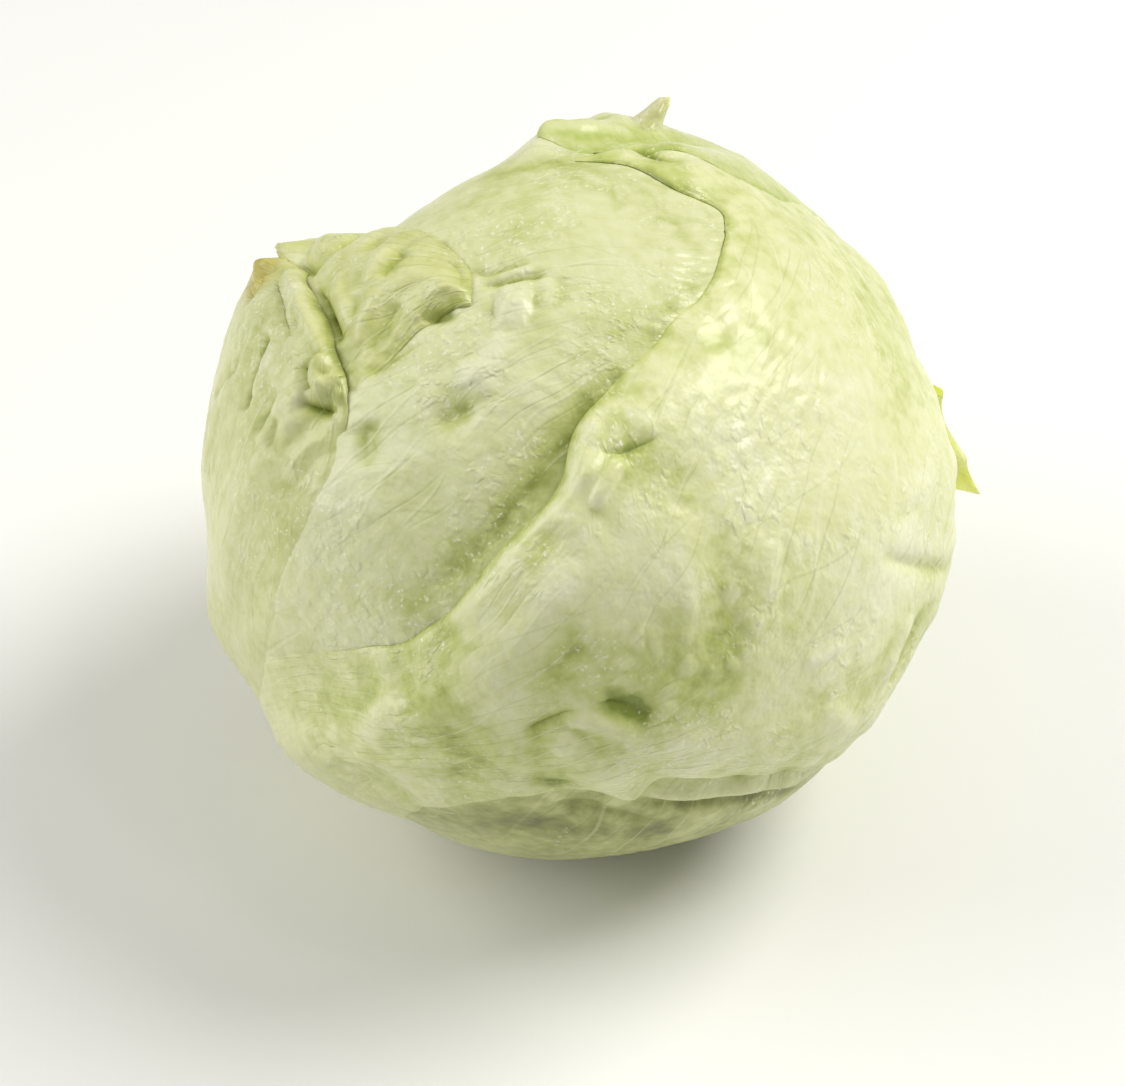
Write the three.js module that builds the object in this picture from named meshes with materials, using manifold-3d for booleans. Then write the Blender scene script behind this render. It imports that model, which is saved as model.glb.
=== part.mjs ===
// A head of iceberg lettuce, as cut and trimmed: a tight ball of inner leaves on a short stem,
// wrapped in six loose outer leaves.  It lies on its lower shoulder, stem low on the left.
//
// Millimetres, +Z up, -Y is the front.  The origin is on the surface that the head rests on,
// under the middle of the whole.
//
// Every leaf grows from the stem, so places on the head are given from there:
//   turn   degrees round the stem's axis; 0 passes the front of the head, 90 its upper left
//   reach  degrees along the ball from the stem, 0, over the crown, 180
// and each wrapper leaf is a list of rows, from its foot at the stem to its tip.  A row names
// the turn and reach of places across the leaf, from its left margin to its right margin.

import * as THREE from "three";
import { mergeVertices } from "three/addons/utils/BufferGeometryUtils.js";
import Module from "manifold-3d";

const BALL = new THREE.Vector3(82, 86, 79); // half-widths over the outer leaves
const CENTRE_HEIGHT = 71.5; // the ball sits down this far, so its underside is pressed flat
const LEAF_THICKNESS = 1.2;
const LEAF_GAP = 1.1; // air between one leaf and the next
const LAYER = LEAF_THICKNESS + LEAF_GAP;
const USUAL_LAYERS = 3; // leaves lying over each other on most of the ball
const TUCK = 7; // degrees past its margin that a leaf still lifts the one above it
const DRAPE = 16; // degrees over which the one above then settles back

const STEM_BEARING = -96; // the stem points to the left
const STEM_DIP = 48; // and down
const STEM_RADIUS = 14.5;
const STEM_FOOT_RADIUS = 12; // where it is cut off
const STEM_ROOT = 50; // the stem begins this far from the ball's centre
const STEM_CUT = 80; // and is cut here
const CLEARANCE = 0.5; // round the stem in its socket
const BALL_GAP = 1.3; // more air between the ball of inner leaves and the loose ones

// Broad rises and hollows of the ball: turn, reach, height in mm and spread in degrees.
const SWELLS = [
  { turn: 122, reach: 97, height: -16, spread: 17 }, // hollow behind the crumpled leaf
  { turn: 146, reach: 122, height: 1.5, spread: 13 },
  { turn: 107, reach: 81, height: 3.2, spread: 12 }, // top of the side leaf
  { turn: 30, reach: 42, height: 1.5, spread: 22 }, // shoulder over the stem
  { turn: -20, reach: 47, height: 4, spread: 24 }, // underside towards the front
  { turn: -54, reach: 85, height: 4, spread: 24 },
  { turn: -75, reach: 128, height: 1, spread: 24 }, // right side, under the back leaf's margin
  { turn: -144, reach: 147, height: -2.5, spread: 25 }, // a little flat over the crown
  { turn: -78, reach: 133, height: 4.5, spread: 12 }, // right side, beyond the back leaf's margin
  { turn: -98, reach: 149, height: 1, spread: 14 },
  { turn: 153, reach: 134, height: -1.5, spread: 12 },
  { turn: -142, reach: 155, height: 2.2, spread: 9 },
  { turn: 130, reach: 122, height: 3.4, spread: 8 }, // corner of the back leaf
  { turn: 112, reach: 112, height: 1.3, spread: 8 },
  { turn: 38, reach: 43, height: 3, spread: 13 }, // lower left, between the side leaf and the right leaf
  { turn: 66, reach: 49, height: -2, spread: 11 },
];

// Innermost first.  segments is [across, along], and rise lifts part of one leaf off the ball.
const LEAVES = [
  {
    name: "left_leaf",
    segments: [18, 18],
    rows: [
      [[124, 13], [75, 13], [28, 13]],
      [[120, 40], [72, 40], [26, 40]],
      [[122, 65], [70, 65], [20, 65]],
      [[126, 90], [68, 90], [12, 90]],
      [[132, 112], [66, 112], [8, 112]],
      [[144, 130], [66, 134], [2, 132]],
      [[165, 146], [60, 156], [-25, 152]],
      [[-165, 150], [-140, 158], [-100, 160]],
    ],
  },
  {
    name: "under_leaf",
    segments: [24, 16],
    rows: [
      [[38, 18], [-60, 16], [-158, 18]],
      [[30, 40], [-62, 40], [-155, 40]],
      [[22, 65], [-60, 65], [-140, 65]],
      [[17, 88], [-55, 88], [-125, 88]],
      [[10, 108], [-50, 110], [-110, 108]],
      [[-4, 122], [-48, 127], [-92, 125]],
      [[-19, 133], [-48, 138], [-76, 136]],
    ],
  },
  {
    name: "right_leaf",
    segments: [24, 44],
    rows: [
      [[72, 14], [25, 14], [-22, 14]],
      [[50, 38], [26, 40], [-4, 42]],
      [[42, 60], [25, 62], [5, 63]],
      [[32, 79], [18, 77], [4, 76]],
      [[28, 91], [12, 88], [-2, 89]],
      [[29, 101], [8, 96], [-9, 92.5]],
      [[31, 113], [4, 103], [-12, 98]],
      [[33, 121], [0, 110], [-21, 101]],
      [[39, 127], [-2, 116], [-34, 103]],
      [[43, 136], [-4, 124], [-52, 102]],
      [[49, 146], [-8, 140], [-66, 112]],
      [[66, 158], [-20, 157], [-74, 126]],
      [[112, 160], [-80, 168], [-88, 138]],
      [[114, 151], [172, 165], [-115, 146]],
      [[118, 142], [162, 150], [-145, 146]],
      [[114, 134], [146, 140], [-168, 142]],
    ],
  },
  {
    name: "crumpled_leaf",
    segments: [12, 24],
    rise: { turn: 90, reach: 100, height: 2.5, spread: 16 },
    rows: [
      [[125, 14], [100, 14], [78, 14]],
      [[128, 40], [102, 40], [74, 40]],
      [[128, 62], [100, 66], [68, 68]],
      [[121, 76], [94, 86], [64, 86]],
      [[114, 87], [89, 98], [64, 97]],
      [[105, 98], [86, 106], [66, 105]],
      [[98, 106], [83, 112], [69, 111]],
      [[91, 113], [80, 116.5], [70.5, 116]],
      [[84, 120], [77.5, 121.5], [70, 121]],
    ],
  },
  {
    name: "side_leaf",
    segments: [14, 16],
    rows: [
      [[118, 14], [76, 14], [30, 14]],
      [[122, 35], [78, 35], [32, 35]],
      [[124, 55], [82, 57], [38, 57]],
      [[120, 68], [86, 76], [47, 78]],
      [[110, 77], [84, 88], [53, 92]],
      [[99, 87], [80, 96], [62, 98]],
    ],
  },
  {
    name: "back_leaf",
    segments: [32, 18],
    rows: [
      [[-148, 14], [-156, 14], [-163, 14], [-171, 14], [-178, 14], [172, 14], [162, 14], [151, 14], [140, 14]],
      [[-134, 54], [-145, 54], [-156, 54], [-167, 54], [-177, 54], [171, 54], [160, 54], [150, 54], [139, 54]],
      [[-112, 96], [-126, 97], [-140, 98], [-154, 98], [-168, 98], [176, 98], [164, 98], [151, 97], [138, 96]],
      [[-104, 118], [-114, 120], [-126, 122], [-144, 124], [-168, 124], [172, 125], [156, 124], [145, 121], [134, 118]],
      [[-98, 127], [-108, 131], [-119, 134], [-137, 136], [-167, 137], [167, 139], [149, 138], [136, 134], [121, 126]],
      [[-88, 136], [-99, 141], [-110, 143], [-131, 143], [-166, 146], [163, 151], [145, 146], [133, 139], [119, 130]],
      [[-79, 142], [-95, 147], [-106, 149], [-127, 149], [-165, 152], [160, 160], [137, 155], [131, 143], [119, 134]],
    ],
  },
];

const DEGREE = Math.PI / 180;
const leafMaterial = (colour) =>
  new THREE.MeshStandardMaterial({ color: colour, roughness: 0.45, metalness: 0, side: THREE.DoubleSide });
const stemMaterial = new THREE.MeshStandardMaterial({ color: 0xded9b4, roughness: 0.6, metalness: 0 });

// ---- Directions on the ball -------------------------------------------------------------

const stemAxis = new THREE.Vector3(
  Math.cos(STEM_DIP * DEGREE) * Math.sin(STEM_BEARING * DEGREE),
  -Math.cos(STEM_DIP * DEGREE) * Math.cos(STEM_BEARING * DEGREE),
  -Math.sin(STEM_DIP * DEGREE),
);
const towardsFront = new THREE.Vector3(0, -1, 0).projectOnPlane(stemAxis).normalize();
const towardsUpperLeft = new THREE.Vector3().crossVectors(stemAxis, towardsFront);

function direction([turn, reach]) {
  const t = turn * DEGREE;
  const r = reach * DEGREE;
  return stemAxis
    .clone()
    .multiplyScalar(Math.cos(r))
    .addScaledVector(towardsFront, Math.sin(r) * Math.cos(t))
    .addScaledVector(towardsUpperLeft, Math.sin(r) * Math.sin(t));
}

// ---- The ball ---------------------------------------------------------------------------

const swells = SWELLS.map((s) => ({ ...s, at: direction([s.turn, s.reach]) }));

function swellHeight({ at, height, spread }, dir) {
  return height * Math.exp(-((dir.angleTo(at) / (spread * DEGREE)) ** 2));
}

// Distance from the ball's centre to its outer surface, less a depth in mm.
function ballRadius(dir, depth) {
  const stretched = new THREE.Vector3(dir.x / BALL.x, dir.y / BALL.y, dir.z / BALL.z);
  let radius = 1 / stretched.length();
  for (const swell of swells) radius += swellHeight(swell, dir);
  return radius - depth;
}

const heartDepth = USUAL_LAYERS * LAYER;

// A point of the head, raised this far over the ball of inner leaves and no lower than a floor.
function pointOver(dir, rise, floor) {
  const point = dir.clone().multiplyScalar(ballRadius(dir, heartDepth) + rise);
  point.z = Math.max(point.z + CENTRE_HEIGHT, floor);
  return point;
}

// ---- The leaves -------------------------------------------------------------------------

// The direction at u across and v along a leaf, both 0 to 1.
function leafDirection(leaf, u, v) {
  const row = leaf.courses.map((course) => course.getPoint(v).normalize());
  return new THREE.CatmullRomCurve3(row).getPoint(u).normalize();
}

const SAMPLES = 40; // places across and along a leaf where its cover is known
for (const leaf of LEAVES) {
  leaf.courses = leaf.rows[0].map(
    (_, i) => new THREE.CatmullRomCurve3(leaf.rows.map((row) => direction(row[i]))),
  );
  leaf.samples = [];
  for (let i = 0; i <= SAMPLES; i++) {
    for (let j = 0; j <= SAMPLES; j++) leaf.samples.push(leafDirection(leaf, i / SAMPLES, j / SAMPLES));
  }
}

// 1 where a leaf covers a direction, falling to 0 a little way past its margin.
function cover(leaf, dir) {
  let nearest = -1;
  for (const sample of leaf.samples) nearest = Math.max(nearest, sample.dot(dir));
  const past = Math.acos(Math.min(nearest, 1)) / DEGREE;
  return 1 - THREE.MathUtils.smoothstep(past, TUCK, TUCK + DRAPE);
}

// How far the inner side of leaf number k lies over the ball of inner leaves.
function rise(k, dir) {
  let height = LEAF_GAP;
  LEAVES.slice(0, k + 1).forEach((leaf, i) => {
    if (i < k) height += LAYER * cover(leaf, dir);
    if (leaf.rise) height += swellHeight({ ...leaf.rise, at: direction([leaf.rise.turn, leaf.rise.reach]) }, dir);
  });
  return height;
}

// A leaf is a thin slab, bent over the leaves below it.
function leafGeometry(k) {
  const leaf = LEAVES[k];
  const [across, along] = leaf.segments;
  const slab = new THREE.BoxGeometry(1, 1, 1, across, along, 1);
  slab.deleteAttribute("normal");
  slab.deleteAttribute("uv");
  const geometry = mergeVertices(slab);
  const places = geometry.getAttribute("position");
  for (let i = 0; i < places.count; i++) {
    const dir = leafDirection(leaf, places.getX(i) + 0.5, places.getY(i) + 0.5);
    const outside = places.getZ(i) > 0;
    const floor = leaf.name === "under_leaf" ? 0 : LAYER;
    const lift = outside ? LEAF_THICKNESS : 0;
    const point = pointOver(dir, rise(k, dir) + lift, floor + LEAF_THICKNESS - lift);
    places.setXYZ(i, point.x, point.y, point.z);
  }
  geometry.computeVertexNormals();
  return geometry;
}

// ---- The ball of inner leaves and the stem ----------------------------------------------

const ballCentre = new THREE.Vector3(0, 0, CENTRE_HEIGHT);

// A body turned about the stem's axis; its profile is [distance from the centre, radius].
function turnedOnStem(profile) {
  const outline = profile.map(([along, radius]) => new THREE.Vector2(radius, along));
  const geometry = new THREE.LatheGeometry(outline, 32);
  const lean = new THREE.Quaternion().setFromUnitVectors(new THREE.Vector3(0, 1, 0), stemAxis);
  return geometry.applyQuaternion(lean).translate(ballCentre.x, ballCentre.y, ballCentre.z);
}

const stemGeometry = turnedOnStem([
  [STEM_ROOT, 0],
  [STEM_ROOT, STEM_RADIUS],
  [STEM_CUT - 5, STEM_RADIUS],
  [STEM_CUT, STEM_FOOT_RADIUS],
  [STEM_CUT, 0],
]);
const socketGeometry = turnedOnStem([
  [STEM_ROOT - CLEARANCE, 0],
  [STEM_ROOT - CLEARANCE, STEM_RADIUS + CLEARANCE],
  [STEM_CUT + 20, STEM_RADIUS + CLEARANCE],
  [STEM_CUT + 20, 0],
]);

function ballGeometry() {
  const sphere = new THREE.SphereGeometry(1, 48, 30);
  sphere.deleteAttribute("normal");
  sphere.deleteAttribute("uv");
  const geometry = mergeVertices(sphere);
  const places = geometry.getAttribute("position");
  for (let i = 0; i < places.count; i++) {
    const dir = new THREE.Vector3().fromBufferAttribute(places, i).normalize();
    const point = pointOver(dir, -BALL_GAP, 2 * LAYER);
    places.setXYZ(i, point.x, point.y, point.z);
  }
  return geometry;
}

const wasm = await Module();
wasm.setup();

function solidOf(geometry) {
  const bare = geometry.clone();
  bare.deleteAttribute("normal");
  bare.deleteAttribute("uv");
  const merged = mergeVertices(bare);
  return new wasm.Manifold(
    new wasm.Mesh({
      numProp: 3,
      vertProperties: merged.getAttribute("position").array,
      triVerts: new Uint32Array(merged.index.array),
    }),
  );
}

function geometryOf(solid) {
  const { vertProperties, triVerts } = solid.getMesh();
  const geometry = new THREE.BufferGeometry();
  geometry.setAttribute("position", new THREE.BufferAttribute(vertProperties, 3));
  geometry.setIndex(new THREE.BufferAttribute(triVerts, 1));
  geometry.computeVertexNormals();
  return geometry;
}

// ---- The head ---------------------------------------------------------------------------

const head = new THREE.Group();

function add(name, geometry, material) {
  const mesh = new THREE.Mesh(geometry, material);
  mesh.name = name;
  head.add(mesh);
}

add("inner_head", geometryOf(solidOf(ballGeometry()).subtract(solidOf(socketGeometry))), leafMaterial(0xdadfae));
add("stem", stemGeometry, stemMaterial);
LEAVES.forEach((leaf, k) => add(leaf.name, leafGeometry(k), leafMaterial(0xcdd49a)));

const middle = new THREE.Box3().setFromObject(head).getCenter(new THREE.Vector3());
head.position.set(-middle.x, -middle.y, 0);

export default head;
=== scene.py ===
import math

import bmesh
import bpy
import numpy as np
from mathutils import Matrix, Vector, kdtree, noise
from mathutils.bvhtree import BVHTree


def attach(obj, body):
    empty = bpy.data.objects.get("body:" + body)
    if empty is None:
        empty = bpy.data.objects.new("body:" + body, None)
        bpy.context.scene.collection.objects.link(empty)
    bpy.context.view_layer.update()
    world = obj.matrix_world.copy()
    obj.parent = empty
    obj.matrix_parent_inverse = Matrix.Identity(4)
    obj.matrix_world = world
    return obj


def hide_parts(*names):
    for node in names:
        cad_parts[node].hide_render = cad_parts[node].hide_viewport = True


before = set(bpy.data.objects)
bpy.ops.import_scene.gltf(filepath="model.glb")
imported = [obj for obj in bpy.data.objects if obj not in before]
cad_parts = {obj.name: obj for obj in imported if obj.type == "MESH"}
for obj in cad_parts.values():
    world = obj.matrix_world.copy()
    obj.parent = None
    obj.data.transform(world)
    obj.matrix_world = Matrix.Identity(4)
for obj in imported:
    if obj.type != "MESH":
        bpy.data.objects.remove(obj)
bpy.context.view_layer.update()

# ---- Where the head is seen from ---------------------------------------------------------
# A camera looks down on the front of the head from a little over half a metre away.

LOOK_DOWN = math.radians(42)
camera_distance = 0.5805
camera_aim = Vector((-0.0034, -0.0062, 0.0621))

camera = bpy.data.objects.new("camera", bpy.data.cameras.new("camera"))
camera.data.lens = 85
camera.location = camera_aim + camera_distance * Vector((0, -math.cos(LOOK_DOWN), math.sin(LOOK_DOWN)))
camera.rotation_euler = (math.pi / 2 - LOOK_DOWN, 0, 0)
bpy.context.scene.collection.objects.link(camera)
bpy.context.scene.camera = camera

# ---- Stem ----------------------------------------------------------------------------------
# The stub of the plant's stem, which every leaf grows from: firm white pith, cut across with a
# knife.  The milk that the cut lets out has dried to a rusty ring.

BALL_CENTRE = np.array((-0.16, 2.30, 71.5))  # mm, as in the CAD
STEM_BEARING, STEM_DIP = math.radians(-96), math.radians(48)
stem_axis = np.array((
    math.cos(STEM_DIP) * math.sin(STEM_BEARING),
    -math.cos(STEM_DIP) * math.cos(STEM_BEARING),
    -math.sin(STEM_DIP),
))
STEM_ROOT = 50.5  # mm from the ball's centre, where the stem begins
STEM_RADIUS = 14.2
CUT_FACE = (78.2, 78.9)  # the skin ends and the cut begins between these distances
# distance from the ball's centre and radius, from the root's middle to the cut's middle
stem_profile = [
    (STEM_ROOT, 0), (STEM_ROOT, 13), (52, 14.2), (62, 14.2), (72, 14), (77, 13.2), (79, 12), (79.5, 11.2),
    (79.3, 8), (78.9, 4), (78.8, 0),
]


def linear(hex_colour):
    """A linear RGBA colour from an sRGB one such as 'd9dcab'."""
    parts = [int(hex_colour[i : i + 2], 16) / 255 for i in (0, 2, 4)]
    return [p / 12.92 if p <= 0.04045 else ((p + 0.055) / 1.055) ** 2.4 for p in parts] + [1.0]


def add_node(tree, kind, settings=None, links=None):
    """Adds a node; settings are attributes or input values, links are input name to output socket."""
    node = tree.nodes.new(kind)
    for key, value in (settings or {}).items():
        if isinstance(key, str) and hasattr(node, key):
            setattr(node, key, value)
        else:
            node.inputs[key].default_value = value
    for key, socket in (links or {}).items():
        tree.links.new(socket, node.inputs[key])
    return node


def new_material(name):
    material = bpy.data.materials.new(name)
    material.use_nodes = True
    material.node_tree.nodes.clear()
    return material, material.node_tree


def add_piece(name, mesh, node):
    piece = bpy.data.objects.new(name, mesh)
    bpy.context.scene.collection.objects.link(piece)
    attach(piece, "root")
    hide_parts(node)
    return piece


def noise_over(points, scale, seed):
    """Smooth noise from -1 to 1 at points [n, 3], whose features are about scale long."""
    shifted = points / scale + np.array((seed * 7.3, seed * -3.1, seed * 5.7))
    return np.array([noise.noise(p) for p in shifted.tolist()])


def write_places(mesh, places):
    """Sets a mesh's vertices from places in mm."""
    mesh.vertices.foreach_set("co", (places / 1000).astype(np.float32).ravel())
    mesh.update()


def write_attribute(mesh, name, values):
    mesh.attributes.new(name, "FLOAT", "POINT").data.foreach_set("value", values.astype(np.float32))


def smooth_step(value, low, high):
    t = np.clip((value - low) / (high - low), 0, 1)
    return t * t * (3 - 2 * t)


bm = bmesh.new()
profile_vertices = [bm.verts.new((radius, 0, along)) for along, radius in stem_profile]
profile_edges = [bm.edges.new(pair) for pair in zip(profile_vertices, profile_vertices[1:])]
bmesh.ops.subdivide_edges(bm, edges=profile_edges, cuts=2)
bmesh.ops.spin(bm, geom=bm.verts[:] + bm.edges[:], axis=(0, 0, 1), cent=(0, 0, 0), steps=96,
               angle=math.tau, use_merge=True)
bmesh.ops.remove_doubles(bm, verts=bm.verts, dist=0.01)
bmesh.ops.recalc_face_normals(bm, faces=bm.faces)
mesh = bpy.data.meshes.new("stem_stub")
bm.to_mesh(mesh)
bm.free()
mesh.shade_smooth()
places = np.zeros(len(mesh.vertices) * 3, np.float32)
mesh.vertices.foreach_get("co", places)
places = places.reshape(-1, 3).astype(float)
radii = np.hypot(places[:, 0], places[:, 1])
around = np.arctan2(places[:, 1], places[:, 0])
# the stumps of trimmed leaves make a stem lobed rather than round
lobes = 0.45 * np.cos(5 * around + 0.6) + 0.3 * np.cos(8 * around + 2.1) + 0.3 * noise_over(places, 5, 3)
places[:, :2] *= (1 + (lobes - 0.6) / STEM_RADIUS * smooth_step(radii, 4, 12))[:, None]
on_cut = smooth_step(places[:, 2], *CUT_FACE)
places[:, 2] += on_cut * 0.25 * noise_over(places, 3, 5)
write_attribute(mesh, "cut", on_cut)
write_attribute(mesh, "from_pith", radii / STEM_RADIUS)
upright = Vector((0, 0, 1)).rotation_difference(Vector(stem_axis)).to_matrix()
write_places(mesh, places @ np.array(upright).T + BALL_CENTRE)

# Lettuce pith: waxy and watery, cream on its skin, browning where the cut has met the air.
stem_pith, tree = new_material("cut lettuce pith")
from_pith = add_node(tree, "ShaderNodeAttribute", {"attribute_name": "from_pith"})
cut = add_node(tree, "ShaderNodeAttribute", {"attribute_name": "cut"})
where = add_node(tree, "ShaderNodeTexCoord")
mottle = add_node(tree, "ShaderNodeTexNoise", {"Scale": 420.0, "Detail": 5.0},
                  {"Vector": where.outputs["Object"]})
ring_place = add_node(tree, "ShaderNodeMath", {"operation": "MULTIPLY_ADD", 1: 0.35},
                      {0: mottle.outputs["Fac"], 2: from_pith.outputs["Fac"]})
rings = add_node(tree, "ShaderNodeValToRGB", links={"Fac": ring_place.outputs[0]})
ring_colours = [(0.3, "d3c995"), (0.62, "c9b780"), (0.76, "93683c"), (0.86, "b3935c"), (0.98, "c9bd85")]
for position, _ in ring_colours[1:-1]:
    rings.color_ramp.elements.new(position)
for element, (position, colour) in zip(rings.color_ramp.elements, ring_colours):
    element.position, element.color = position, linear(colour)
coat = add_node(tree, "ShaderNodeMix", {"data_type": "RGBA", 6: linear("cfcf9e")},
                {0: cut.outputs["Fac"], 7: rings.outputs["Color"]})
pits = add_node(tree, "ShaderNodeBump", {"Strength": 0.4, "Distance": 0.0004},
                {"Height": mottle.outputs["Fac"]})
shader = add_node(tree, "ShaderNodeBsdfPrincipled",
                  {"Roughness": 0.5, "IOR": 1.4, "Subsurface Weight": 0.2, "Subsurface Scale": 0.003},
                  {"Base Color": coat.outputs[2], "Normal": pits.outputs[0]})
add_node(tree, "ShaderNodeOutputMaterial", links={"Surface": shader.outputs[0]})
mesh.materials.append(stem_pith)
add_piece("stem_stub", mesh, "stem")

# ---- Inner head ----------------------------------------------------------------------------
# The ball of tight inner leaves, one wrapped over the next, with the stem sunk in its low left
# side.  Only strips of it show between the loose leaves, so it is one body with leaf-like lines.

BALL = np.array((82.0, 86.0, 79.0))  # half-widths over the outer leaves, mm
MEAN_RADIUS, MM_PER_DEGREE = 80, 1.396  # for distances over the ball
LEAF_THICKNESS, LEAF_GAP = 1.2, 1.1  # mm
LAYER = LEAF_THICKNESS + LEAF_GAP
HEART_DEPTH = 3 * LAYER  # three leaves lie over each other on most of the ball
TUCK, DRAPE = 7, 16  # degrees past a margin that it still lifts the leaf above, then settles

# Broad rises and hollows of the ball: turn, reach, height in mm and spread in degrees.
swells = [
    (122, 97, -16, 17),  # hollow behind the crumpled leaf
    (146, 122, 1.5, 13),
    (107, 81, 3.2, 12),  # top of the side leaf
    (30, 42, 1.5, 22),  # shoulder over the stem
    (-20, 47, 4, 24),  # underside towards the front
    (-54, 85, 4, 24),
    (-75, 128, 1, 24),  # right side, under the back leaf's margin
    (-144, 147, -2.5, 25),  # a little flat over the crown
    (-78, 133, 4.5, 12),  # right side, beyond the back leaf's margin
    (-98, 149, 1, 14),
    (153, 134, -1.5, 12),
    (-142, 155, 2.2, 9),
    (130, 122, 3.4, 8),  # corner of the back leaf
    (112, 112, 1.3, 8),
    (38, 43, 3, 13),  # lower left, between the side leaf and the right leaf
    (66, 49, -2, 11),
]

to_front = np.array((0.0, -1.0, 0.0)) - np.dot((0, -1, 0), stem_axis) * stem_axis
to_front /= np.linalg.norm(to_front)
to_upper_left = np.cross(stem_axis, to_front)


def direction(turn, reach):
    """Unit vectors from the ball's centre: turn goes round the stem, reach along the ball, in degrees."""
    turn, reach = np.radians(turn)[..., None], np.radians(reach)[..., None]
    outward = np.cos(turn) * to_front + np.sin(turn) * to_upper_left
    return np.cos(reach) * stem_axis + np.sin(reach) * outward


def smooth_through(points, t):
    """A Catmull-Rom curve through points [n, ...], at t from 0 to 1."""
    padded = np.concatenate([2 * points[:1] - points[1:2], points, 2 * points[-1:] - points[-2:-1]])
    place = np.clip(t, 0, 1) * (len(points) - 1)
    i = np.minimum(place.astype(int), len(points) - 2)
    f = (place - i).reshape((-1,) + (1,) * (points.ndim - 1))
    a, b, c, d = (padded[i + k] for k in range(4))
    return 0.5 * (2 * b + (c - a) * f + (2 * a - 5 * b + 4 * c - d) * f**2 + (3 * b - a - 3 * c + d) * f**3)


def apart_mm(directions, turn, reach):
    """Distances in mm over the ball from a (turn, reach)."""
    return MEAN_RADIUS * np.linalg.norm(directions - direction(np.float64(turn), np.float64(reach)), axis=1)


def fold_heights(directions, folds):
    """Heights of a leaf's folds, which sink to nothing at their ends."""
    total = np.zeros(len(directions))
    for height, half_width, points in folds:
        points = np.array(points, float)
        steps = 5 * (len(points) - 1)
        line = smooth_through(direction(points[:, 0], points[:, 1]), np.linspace(0, 1, steps + 1))
        line = line * MEAN_RADIUS
        best = np.full(len(directions), 1e9)
        part = np.zeros(len(directions))
        for i, (a, b) in enumerate(zip(line, line[1:])):
            t = np.clip((directions * MEAN_RADIUS - a) @ (b - a) / ((b - a) @ (b - a)), 0, 1)
            apart = np.linalg.norm(directions * MEAN_RADIUS - (a + t[:, None] * (b - a)), axis=1)
            near = apart < best
            best[near], part[near] = apart[near], (i + t[near]) / steps
        total += height * np.exp(-((best / half_width) ** 1.5)) * (1 - np.abs(2 * part - 1) ** 4)
    return total


# Deep folds and pits, which every layer follows: height and half-width in mm, and a line of (turn, reach).
deep_folds = [
    (-1.5, 2.2, [(6.5, 104.6), (4, 105.8), (1.5, 106.6), (-1.5, 106.8)]),  # a pinched dent low at the front
    (-1.1, 1.5, [(10, 94), (9, 98), (7.3, 102)]),
    (-1.6, 2.4, [(4, 88), (1, 90), (-2, 92)]),
    (-0.4, 1.8, [(34, 126), (31, 129), (30, 132), (29, 136)]),
    (-2.0, 1.6, [(71, 112), (70, 115), (69.5, 118)]),  # under the end of the crumpled leaf
    (-0.9, 1.6, [(71, 112), (68, 108), (66, 102)]),
    (-3.0, 1.6, [(88, 94.5), (83, 97), (78, 98.5), (73, 99.5)]),
    (-3.5, 2.0, [(100, 88), (96, 91), (92, 95)]),
    (-3.4, 1.8, [(67, 91.5), (64.5, 93.5), (63, 96)]),  # under the curl of the side leaf
    (-3.4, 1.6, [(82, 88), (80, 86), (78, 84), (76, 81.5), (73, 79)]),  # between its puckers
    (-3.0, 1.6, [(84, 79), (86, 73), (86, 68)]),
    (-3.6, 2.4, [(131, 138), (128, 143), (129, 149)]),  # behind the top of the right leaf
    (-0.8, 1.6, [(-30, 139), (-43, 137.5), (-57, 134.5), (-68, 131)]),
    (3.2, 6.0, [(112, 129), (118, 127), (124, 126), (131, 125)]),  # the corner of the back leaf
]


def ball_radius(directions):
    radius = 1 / np.linalg.norm(directions / BALL, axis=-1) + fold_heights(directions, deep_folds)
    for turn, reach, height, spread in swells:
        radius += height * np.exp(-((apart_mm(directions, turn, reach) / (MM_PER_DEGREE * spread)) ** 2))
    return radius


INNER_SINK = 2.5  # room for the dents of the leaves over it


def inner_radius(directions):
    return ball_radius(directions) - HEART_DEPTH - INNER_SINK + 0.7 * noise_over(directions, 0.22, 2)


bm = bmesh.new()
bmesh.ops.create_uvsphere(bm, u_segments=160, v_segments=96, radius=1)
mesh = bpy.data.meshes.new("inner_leaves")
bm.to_mesh(mesh)
bm.free()
mesh.shade_smooth()
directions = np.zeros(len(mesh.vertices) * 3, np.float32)
mesh.vertices.foreach_get("co", directions)
directions = directions.reshape(-1, 3).astype(float)
directions /= np.linalg.norm(directions, axis=1)[:, None]
radius = inner_radius(directions)
along_stem = directions @ stem_axis
beside_stem = radius * np.sqrt(1 - along_stem**2)
in_socket = (along_stem > 0) & (beside_stem < STEM_RADIUS + 1.5)
radius = np.where(in_socket, np.minimum(radius, (STEM_ROOT - 1.0) / np.maximum(along_stem, 0.5)), radius)
places = directions * radius[:, None] + BALL_CENTRE
places[:, 2] = np.maximum(places[:, 2], 2 * LAYER)
write_places(mesh, places)
turns = np.degrees(np.arctan2(directions @ to_upper_left, directions @ to_front))
reaches = np.degrees(np.arccos(np.clip(along_stem, -1, 1)))
blade = mesh.uv_layers.new(name="blade")
corners = np.zeros(len(mesh.loops), np.int32)
mesh.loops.foreach_get("vertex_index", corners)
flat = np.stack((turns * 1.3, reaches * 1.4), 1)  # mm over the ball
blade.data.foreach_set("uv", flat[corners].astype(np.float32).ravel())
write_attribute(mesh, "tone", 0.2 + 0.8 * noise_over(directions, 0.3, 19))
write_attribute(mesh, "near_stem", 1 - smooth_step(reaches, 15, 75))
write_attribute(mesh, "dried", np.zeros(len(directions)))
write_attribute(mesh, "free", np.zeros(len(directions)))


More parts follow.
